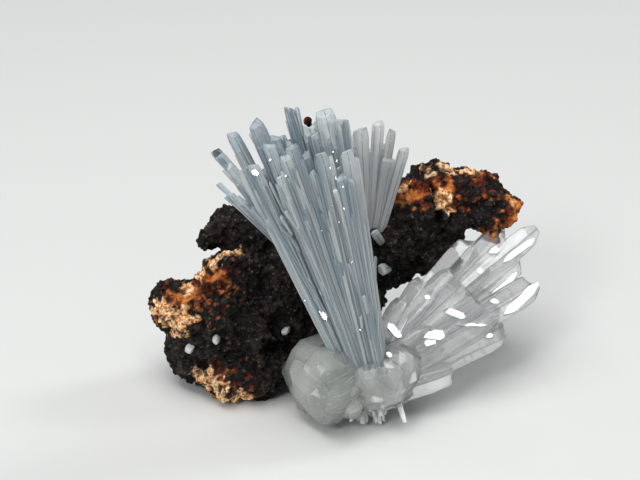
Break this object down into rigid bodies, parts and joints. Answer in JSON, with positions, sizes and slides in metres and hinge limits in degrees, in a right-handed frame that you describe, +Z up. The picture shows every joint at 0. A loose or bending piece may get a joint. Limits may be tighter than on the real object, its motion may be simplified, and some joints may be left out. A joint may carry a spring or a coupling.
{
  "type": "mineral specimen",
  "caption": "Barite mineral specimen: sprays of pale blue bladed crystals, with a clear blocky base, grown on a dark, rusty lump of iron-oxide rock.",
  "frame": {"origin": "on the flat underside of the rock, in the plane that the specimen rests on, near the middle of its left and right lobes", "axes": "+Z up, out of the resting face; +X to the right along the specimen's longest extent; -Y towards the side with the crystals"},
  "size_m": [0.0548, 0.0307, 0.0455],
  "materials": {
    "barite_clear": "clear pale greenish-blue crystal with glassy faces",
    "barite_blue": "clear pale blue crystal with glassy faces",
    "barite_small": "slightly milky pale crystal",
    "iron_oxide": "rough, granular, nearly black iron oxide with ochre and red-brown patches",
    "iron_oxide_red": "rough red-brown iron oxide"
  },
  "bodies": {
    "root": {"barite_cluster": "barite_clear", "back_spray": "barite_blue", "small_crystal_1": "barite_small", "small_crystal_2": "barite_small", "small_crystal_3": "barite_small", "small_crystal_4": "barite_small", "small_crystal_5": "barite_small", "iron_oxide_chip": "iron_oxide_red", "rock": "iron_oxide"}
  },
  "joints": []
}
